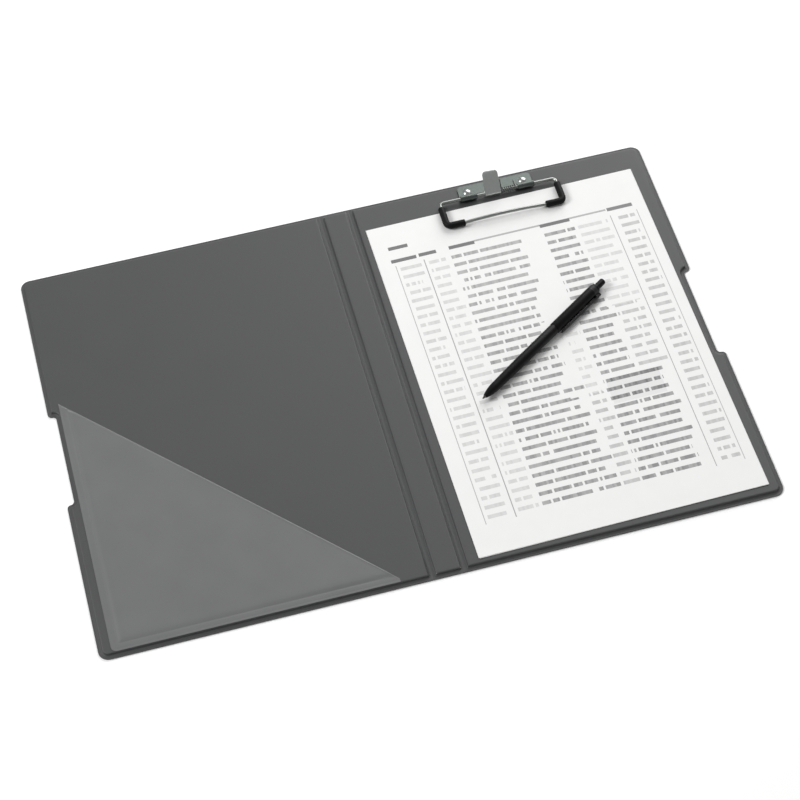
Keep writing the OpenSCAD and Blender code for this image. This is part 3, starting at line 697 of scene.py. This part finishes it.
def lever_spring_route():
    """A helix about X from below the wire, and straight legs that leave it along its tangents."""
    leg_line = np.hypot(spring_leg, under_lever)
    slope = np.radians(lever_slope) + np.arctan2(under_lever, spring_leg)
    slope -= np.arcsin(spring_r / leg_line)
    total = 2 * np.pi * spring_turns + np.pi - slope
    share = np.linspace(0, 1, spring_turns * turn_points)
    turn = -np.pi / 2 - total * share
    across = coil_right + (coil_left - coil_right) * share
    coil = np.stack([across, spring_r * np.cos(turn), spring_r * np.sin(turn)], -1)
    lower = np.array([[coil_right, y, -spring_r] for y in (spring_leg, 6, 3, 1.2, 0.5)])
    climb = np.array([0, np.cos(slope), np.sin(slope)])
    length = np.sqrt(leg_line**2 - spring_r**2)
    straight = length - hook_r
    upper = coil[-1] + np.array([0.4, 1, 3, 5, straight - 0.4, straight])[:, None] * climb
    bend = np.radians(np.linspace(15, 90, 6))[:, None]
    sideways = np.array([1, 0, 0])
    top = coil[-1] + (straight + hook_r * np.sin(bend)) * climb
    top -= hook_r * (1 - np.cos(bend)) * sideways
    hook = top[-1] - np.array([1.2, hook_l - hook_r])[:, None] * sideways
    return np.concatenate([lower, coil, upper, top, hook]), len(lower) + len(coil), climb


route, coil_last, climb = lever_spring_route()
spring_l = np.linalg.norm(np.diff(route, axis=0), axis=1).sum()
print(f"spring wire {spring_l:.1f} mm long")

# %% [markdown]
# A tube is carried along the route on a side direction that never turns suddenly, so the wire
# doesn't twist.

# %% Lever spring
wire_sides = 12
wire_sharp = 60  # degrees


def tube(route, radius, side):
    """Circles square to the route, each started from a side direction made square to it."""
    way = np.gradient(route, axis=0)
    way /= np.linalg.norm(way, axis=1, keepdims=True)
    flat = side - np.sum(side * way, 1, keepdims=True) * way
    flat /= np.linalg.norm(flat, axis=1, keepdims=True)
    up = np.cross(way, flat)
    turn = np.linspace(0, 2 * np.pi, wire_sides, endpoint=False)[None, :, None]
    circle = np.cos(turn) * flat[:, None] + np.sin(turn) * up[:, None]
    return loft(route[:, None] + radius * circle)


side = np.tile([1.0, 0.0, 0.0], (len(route), 1))
side[coil_last:] = np.cross(climb, [1, 0, 0])
side[:coil_last] = np.cross(np.gradient(route, axis=0), [1, 0, 0])[:coil_last]
spring_shape = tube(route + axle, spring_d / 2, side)
spring = make_piece("torsion_spring", spring_shape, spring_wire, wire_sharp)
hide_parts("lever_spring")
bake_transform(spring)
print(spring.name, len(spring.data.polygons), "faces")

# %% [markdown]
# The sheets are ordinary office paper, a tenth of a millimetre thick. Five of them lie under the
# clip, each a little out of line. Their free bottom corners lift, the top sheet's by the most, and
# even that is only a seventh of a millimetre.

# %% Sheets
sheet_w, sheet_h, sheet_turn = 210, 297, 0.67
stack_low, stack_high = box_mm("paper_sheets")
sheet_centre = (stack_low + stack_high)[:2] / 2
sheet_count = 5
sheet_t = (stack_high[2] - stack_low[2]) / sheet_count
sheet_slips = (  # X, Y and degrees, from the lowest sheet to the top one
    (0.3, 0.2, -0.06),
    (-0.4, 0.3, 0.05),
    (0.2, -0.3, 0.1),
    (-0.2, -0.2, -0.04),
    (0, 0, 0),
)
corner_lift = 1.6  # before the two squares, which leave 0.09 of it at the corners
paper_share = 0.9  # of a sheet's height in the stack


def sheet_surface(level, slip_x, slip_y, slip_turn):
    """A page-size grid, turned and shifted. Squares of x and of y past a line lift its corners."""
    x, y = np.meshgrid(np.linspace(-0.5, 0.5, 29), np.linspace(-0.5, 0.5, 41), indexing="ij")
    lift = np.clip(2 * np.abs(x) - 0.5, 0, 1) ** 2 * np.clip(-2 * y - 0.4, 0, 1) ** 2
    turn = np.radians(sheet_turn + slip_turn)
    x, y = x * sheet_w, y * sheet_h
    z = stack_low[2] + level * sheet_t + corner_lift * (level / sheet_count) * lift
    east = sheet_centre[0] + slip_x + x * np.cos(turn) - y * np.sin(turn)
    north = sheet_centre[1] + slip_y + x * np.sin(turn) + y * np.cos(turn)
    return np.stack([east, north, z], -1)


print(f"{sheet_count} sheets, each with {sheet_t:.2f} mm of height in the stack")

# %% [markdown]
# Office paper is felted from short fibres, so it is matt, and clouded when light grazes it.

# %% Paper
def paper_material(name):
    """Clouds 12 mm across in colour and gloss, and fibres a quarter of a millimetre across."""
    material, tree, shader, place = start_material(name, IOR=1.5)
    clouds = {"Vector": place, "Scale": 1000 / 12, "Detail": 3}
    paper = vary(tree, shader, clouds, "#E2E2E1", "#E7E7E6", 0.85, 0.92)[1]
    fibres = add(tree, "ShaderNodeTexNoise", {"Vector": place, "Scale": 1000 / 0.25, "Detail": 2})
    bump = {"Height": fibres, "Strength": 0.3, "Distance": 0.00002}
    add(tree, "ShaderNodeBump", bump, {0: shader["Normal"]})
    return material, tree, shader, place, paper


plain_paper = paper_material("felted_office_paper")[0]
print("paper:", plain_paper.name)

# %% [markdown]
# The top sheet carries a printed list, drawn only as grey bars, so there are no letters. Its layout
# is two tables, in millimetres from the page's top left corner. One has the columns of text. The
# other has the heading bars, the thin rules and one patch that is a little darker.

# %% Layout of the print
page_corner = np.array([-sheet_w / 2, sheet_h / 2])
row_pitch, row_middle, row_half = 7.75, 0.55, 0.2
letter_w = 1.6  # wider than real letters, so that it still shows
gap_share = 0.12
letter_least, letter_range = 0.82, 0.36  # ink differs from letter to letter
column_seed = 0.37  # gives each column its own random widths
toner = "#2E2E30"
# left, right, least share of the width that is filled, ink, first and last millimetre down
columns = (
    (15, 32, 0.75, 0.24, 39, 271),
    (37, 53, 0.75, 0.22, 39, 271),
    (54.5, 112, 0.8, 0.5, 39, 120),
    (54.5, 114, 0.7, 0.56, 120, 190),
    (54.5, 113, 0.85, 0.58, 190, 271),
    (114, 126, 0.4, 0.2, 120, 190),
    (114, 126, 0.6, 0.36, 190, 271),
    (127.5, 152, 0.9, 0.56, 39, 120),
    (154, 179, 0.75, 0.2, 39, 120),
    (127.5, 156, 0.7, 0.56, 120, 180),
    (157, 179, 0.75, 0.34, 120, 180),
    (127.5, 177, 0.85, 0.6, 180, 271),
    (186, 200, 0.85, 0.34, 39, 271),
)
boxes = (  # left, right, top, bottom, ink
    (11, 26, 20.6, 23.8, 0.8),
    (10, 29.5, 32.8, 36, 0.8),
    (31.5, 45, 32.4, 35.6, 0.8),
    (55, 75, 32.3, 35.5, 0.8),
    (75, 126.5, 32, 33.6, 0.5),
    (126.5, 150, 32.2, 35.4, 0.8),
    (150, 179, 32, 33.6, 0.5),
    (180, 200, 31.5, 34.7, 0.75),
    (129, 169, 181, 203, 0.1),
    (12, 12.6, 39, 273, 0.5),
    (33.8, 34.5, 39, 273, 0.6),
    (180.4, 181, 39, 273, 0.55),
    (201.4, 202, 39, 273, 0.45),
)
print(len(columns), "blocks of rows,", len(boxes), "boxes")

# %% [markdown]
# A mapping turns each place into millimetres from the page's corner. Rows are a repeat of that
# distance. Each column fills a random share of its width in each row, and small random gaps break
# it up as words do.

# %% Print
MATH = "ShaderNodeMath"


def between(tree, value, low, high):
    """1 where a value lies between two limits, and 0 elsewhere."""
    limits = {0: value, 1: (low + high) / 2, 2: (high - low) / 2}
    return add(tree, MATH, limits, operation="COMPARE")


def print_list(tree, shader, place, paper):
    """Ink is the sum of column × row × letter and of the boxes. It takes paper to toner."""
    turn = np.radians(sheet_turn)
    across = np.array([[np.cos(turn), -np.sin(turn)], [np.sin(turn), np.cos(turn)]])
    corner = (sheet_centre + across @ page_corner) / 1000
    to_page = {"Vector": place, "Location": (*corner, 0), "Rotation": (0, 0, turn)}
    to_page["Scale"] = (0.001, -0.001, 1)
    page = add(tree, "ShaderNodeMapping", to_page, vector_type="TEXTURE")
    page = add(tree, "ShaderNodeSeparateXYZ", {0: page})
    u, v = page.outputs[:2]
    rows = add(tree, MATH, {0: v, 1: row_pitch}, operation="DIVIDE")
    row = add(tree, MATH, {0: rows}, operation="FLOOR")
    height = add(tree, MATH, {0: rows}, operation="FRACT")
    height = add(tree, MATH, {0: height, 1: row_middle, 2: row_half}, operation="COMPARE")
    letter = add(tree, MATH, {0: u, 1: letter_w}, operation="SNAP")
    letter = add(tree, "ShaderNodeCombineXYZ", {0: letter, 1: row})
    letter = add(tree, "ShaderNodeTexWhiteNoise", {"Vector": letter}, noise_dimensions="2D")
    gaps = add(tree, MATH, {0: letter, 1: gap_share}, operation="GREATER_THAN")
    letter = {0: letter, 1: letter_range, 2: letter_least}
    letter = add(tree, MATH, letter, operation="MULTIPLY_ADD")
    letter = add(tree, MATH, {0: letter, 1: gaps}, operation="MULTIPLY")
    text = add(tree, MATH, {0: height, 1: letter}, operation="MULTIPLY")
    ink = 0.0
    for left, right, least, strength, first, last in columns:
        chance = add(tree, MATH, {0: row, 1: column_seed * left}, operation="ADD")
        chance = add(tree, "ShaderNodeTexWhiteNoise", {"W": chance}, noise_dimensions="1D")
        half = {0: chance, 1: (1 - least) * (right - left) / 2, 2: least * (right - left) / 2}
        half = add(tree, MATH, half, operation="MULTIPLY_ADD")
        middle = add(tree, MATH, {0: half, 1: left}, operation="ADD")
        filled = add(tree, MATH, {0: u, 1: middle, 2: half}, operation="COMPARE")
        down = between(tree, v, first, last)
        filled = add(tree, MATH, {0: filled, 1: down}, operation="MULTIPLY")
        filled = add(tree, MATH, {0: filled, 1: text}, operation="MULTIPLY")
        ink = add(tree, MATH, {0: filled, 1: strength, 2: ink}, operation="MULTIPLY_ADD")
    for left, right, top, bottom, strength in boxes:
        sides = {0: between(tree, u, left, right), 1: between(tree, v, top, bottom)}
        box = add(tree, MATH, sides, operation="MULTIPLY")
        ink = add(tree, MATH, {0: box, 1: strength, 2: ink}, operation="MULTIPLY_ADD")
    colour = {FACTOR: ink, COLOUR_A: paper, COLOUR_B: linear(toner)}
    add(tree, "ShaderNodeMix", colour, {MIXED: shader["Base Color"]}, data_type="RGBA")


printed_paper, *printed_parts = paper_material("printed_office_paper")
print_list(*printed_parts)
print(len(printed_paper.node_tree.nodes), "nodes in the printed paper")

# %% [markdown]
# Only the top sheet is printed. It stands for the model's one solid of paper, and the four under it
# go with it.

# %% Sheets in their stack
for level, slips in enumerate(sheet_slips, 1):
    material = printed_paper if level == sheet_count else plain_paper
    shape = slab(sheet_surface(level, *slips), paper_share * sheet_t)
    piece = make_piece(f"paper_sheet_{level}", shape, material)
    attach(piece, "sheets")
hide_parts("paper_sheets")

# %% [markdown]
# The pen is a push-button ballpoint. Its two barrels and its button are moulded round forms, so
# each is a profile carried round the pen's axis.

# %% Round forms
pen_turn = np.radians(33.8)
pen_point = np.array([60.6, -35.0, 7.55])
pen_axis = np.array([np.cos(pen_turn), np.sin(pen_turn), 0])
pen_side = np.array([np.sin(pen_turn), -np.cos(pen_turn), 0])
pen_around = 64  # points on each circle


def revolve(profile, joined=True):
    """Circles of the profile's radii, square to the pen's axis at its distances along it."""
    r, along = np.array(profile).T[:, :, None, None]
    turn = np.linspace(0, 2 * np.pi, pen_around, endpoint=False)[None, :, None]
    across = np.cos(turn) * pen_side + np.sin(turn) * np.array([0, 0, 1])
    return loft(pen_point + along * pen_axis + r * across, joined)


def rounded(r, along, size, first, last, count=4):
    """Profile points on a small quarter circle about a centre, between two angles."""
    turn = np.radians(np.linspace(first, last, count))
    return [(r + size * np.cos(t), along + size * np.sin(t)) for t in turn]


print("pen's axis", pen_axis.round(3))

# %% [markdown]
# A profile's points are a radius and a distance from the refill's point. The front barrel swells
# from a finger grip, and its nose is an arc that curves in to the point. The rear barrel is
# narrower where the clip's band holds it, and the button has a flange that keeps it in.

# %% Profiles of the pen
point_out, nose_l, nose_r, nose_hole_r, nose_hole_l = 2.5, 12, 1.45, 1.2, 6.5
finger_r, finger_l, front_r, rear_r = 3.5, 26, 4.0, 4.3
rear_start, neck_end, neck_r, bore_r = 81, 89, 3.3, 2.4
rear_bore_r, rear_bore_end, pen_top, button_hole_r = 3.35, 128, 130, 2.6
cap_start, cap_r, cap_round = 123.5, 3.7, 1.0
button_foot, flange_r, flange_l, button_r, pen_l = 120.5, 3.0, 2, 2.5, 138
button_round, button_end_r = 1, 0.6
front_round, rear_round, seam = 0.15, 0.2, 0.05
nose_edge, nose_lip = 0.1, 0.15
nose_top = point_out + nose_l
nose_step = point_out + nose_hole_l
nose_arc_r = (nose_l**2 + (finger_r - nose_r) ** 2) / (2 * (finger_r - nose_r))
nose = [
    (finger_r - nose_arc_r + np.sqrt(nose_arc_r**2 - (nose_top - a) ** 2), a)
    for a in np.linspace(point_out + nose_lip, nose_top, 20)
]
front_profile = [
    (bore_r, neck_end),
    (bore_r, nose_step),
    (nose_hole_r, nose_step),
    (nose_hole_r, point_out + nose_edge),
    (nose_hole_r + nose_edge, point_out),
    *nose,
    (front_r, nose_top + finger_l),
    *rounded(front_r - front_round, rear_start - seam - front_round, front_round, 0, 90),
    (neck_r, rear_start - seam),
    (neck_r, neck_end),
]
rear_profile = [
    (rear_bore_r, rear_bore_end),
    (rear_bore_r, rear_start),
    *rounded(rear_r - rear_round, rear_start + rear_round, rear_round, -90, 0),
    (rear_r, cap_start),
    (cap_r, cap_start),
    *rounded(cap_r - cap_round, pen_top - cap_round, cap_round, 0, 90, 7),
    (button_hole_r, pen_top),
    (button_hole_r, rear_bore_end),
]
button_profile = [
    (flange_r, button_foot),
    (flange_r, button_foot + flange_l),
    (button_r, button_foot + flange_l),
    *rounded(button_r - button_round, pen_l - button_round, button_round, 0, 90, 7),
    (button_end_r, pen_l),
]
print("pen", pen_l, "mm long")

# %% [markdown]
# The barrels are hollow, so their profiles close on themselves. The button is solid, with flat
# ends. The sprung clip is the model's, softened.

# %% Pen
pen_sharp = 35  # degrees
button_shape = revolve(button_profile, joined=False)
front = make_piece("pen_front", revolve(front_profile), pen_abs, pen_sharp)
rear = make_piece("pen_rear", revolve(rear_profile), pen_abs, pen_sharp)
button = make_piece("push_button", button_shape, pen_abs, pen_sharp)
for piece, node, body in (
    (front, "pen_front_barrel", "pen"),
    (rear, "pen_rear_barrel", "pen"),
    (button, "pen_button", "refill"),
):
    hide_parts(node)
    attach(piece, body)
clip = softened("pen_clip", "sprung_pen_clip", "pen", pen_pp, 0.2)
print("pen", front.name, rear.name, button.name, clip.name)

# %% [markdown]
# The refill is a brass tube. Pressed into it is a turned tip of nickel silver, a dull grey metal.
# The distance from the pen's point tells which of the two metals a place belongs to.

# %% Refill
tip_l = 11


def refill_material():
    """Scuffs 0.6 mm across on both metals, and their border at the tip's length from the point."""
    material, tree, shader, place = start_material("brass_tube_with_turned_tip", Metallic=1.0)
    scuffs = {"Vector": place, "Scale": 1000 / 0.6, "Detail": 4}
    scuffs = add(tree, "ShaderNodeTexNoise", scuffs).outputs[0]
    away = {0: place, 1: (pen_point / 1000).tolist()}
    away = add(tree, "ShaderNodeVectorMath", away, operation="DISTANCE").outputs["Value"]
    tube_part = add(tree, "ShaderNodeMath", {0: away, 1: tip_l / 1000}, operation="GREATER_THAN")
    brass = {FACTOR: scuffs, COLOUR_A: linear("#B08C42"), COLOUR_B: linear("#C9A75A")}
    brass = add(tree, "ShaderNodeMix", brass, data_type="RGBA").outputs[MIXED]
    silver = {FACTOR: scuffs, COLOUR_A: linear("#5E5D59"), COLOUR_B: linear("#76746F")}
    silver = add(tree, "ShaderNodeMix", silver, data_type="RGBA").outputs[MIXED]
    both = {FACTOR: tube_part, COLOUR_A: silver, COLOUR_B: brass}
    add(tree, "ShaderNodeMix", both, {MIXED: shader["Base Color"]}, data_type="RGBA")
    gloss = {"Value": scuffs, "To Min": 0.22, "To Max": 0.36}
    add(tree, "ShaderNodeMapRange", gloss, {0: shader["Roughness"]})
    return material


refill_metal = refill_material()
print("refill:", refill_metal.name)

# %% [markdown]
# What stays from the model itself gets its finish here: the boards inside the films, and the pen's
# refill and return spring.

# %% Finishes on the model's own pieces
for node, material in (
    ("back_board", greyboard),
    ("spine_board", greyboard),
    ("cover_board", greyboard),
    ("pen_refill", refill_metal),
    ("pen_spring", spring_wire),
):
    mesh = bpy.data.objects[node].data
    mesh.materials.clear()
    mesh.materials.append(material)
    print(node, material.name)

# %% [markdown]
# The photograph is lit like a catalogue picture: a soft light above the top left, a broad one low
# behind the right that lays a sheen on the film, and a white surround that fills every shadow. The
# floor is a painted table, pale enough to end up white.

# %% Floor and light
floor_half, floor_top = 4, -0.0004  # metres, and the top is just under the folder
floor_corners = [
    (x * floor_half, y * floor_half, floor_top) for x, y in ((-1, -1), (1, -1), (1, 1), (-1, 1))
]
floor_mesh = bpy.data.meshes.new("floor")
floor_mesh.from_pydata(floor_corners, [], [(0, 1, 2, 3)])
floor_paint, tree, shader, place = start_material("white_table_paint")
patches = {"Vector": place, "Scale": 1000 / 200, "Detail": 2}
vary(tree, shader, patches, "#FBFBFB", "#FDFDFD", 0.8, 0.85)
floor_mesh.materials.append(floor_paint)
floor = bpy.data.objects.new("floor", floor_mesh)
bpy.context.scene.collection.objects.link(floor)


def area_light(name, place, target, size, power):
    """A square light of a size in metres and a power in watts, turned to face a point."""
    data = bpy.data.lights.new(name, "AREA")
    data.size = size
    data.energy = power
    away = np.array(place) - target
    away /= np.linalg.norm(away)
    level = np.cross([0, 0, 1], away)
    level /= np.linalg.norm(level)
    pose = np.eye(4)
    pose[:3, :3] = np.stack([level, np.cross(away, level), away], 1)
    pose[:3, 3] = place
    light = bpy.data.objects.new(name, data)
    light.matrix_world = Matrix(pose.tolist())
    bpy.context.scene.collection.objects.link(light)


area_light("key", (-2.0, 0.3, 1.9), (0, 0, 0), 1.0, 52)
area_light("sheen", (1.1, 1.6, 1.1), (0, 0, 0), 1.8, 44)
world = bpy.data.worlds.new("white_surround")
world.use_nodes = True
background = world.node_tree.nodes["Background"].inputs
background["Color"].default_value = linear("#E8E8E8")
background["Strength"].default_value = 0.45
bpy.context.scene.world = world
bpy.context.scene.view_settings.view_transform = "Standard"
print("lights:", [item.name for item in bpy.data.lights])
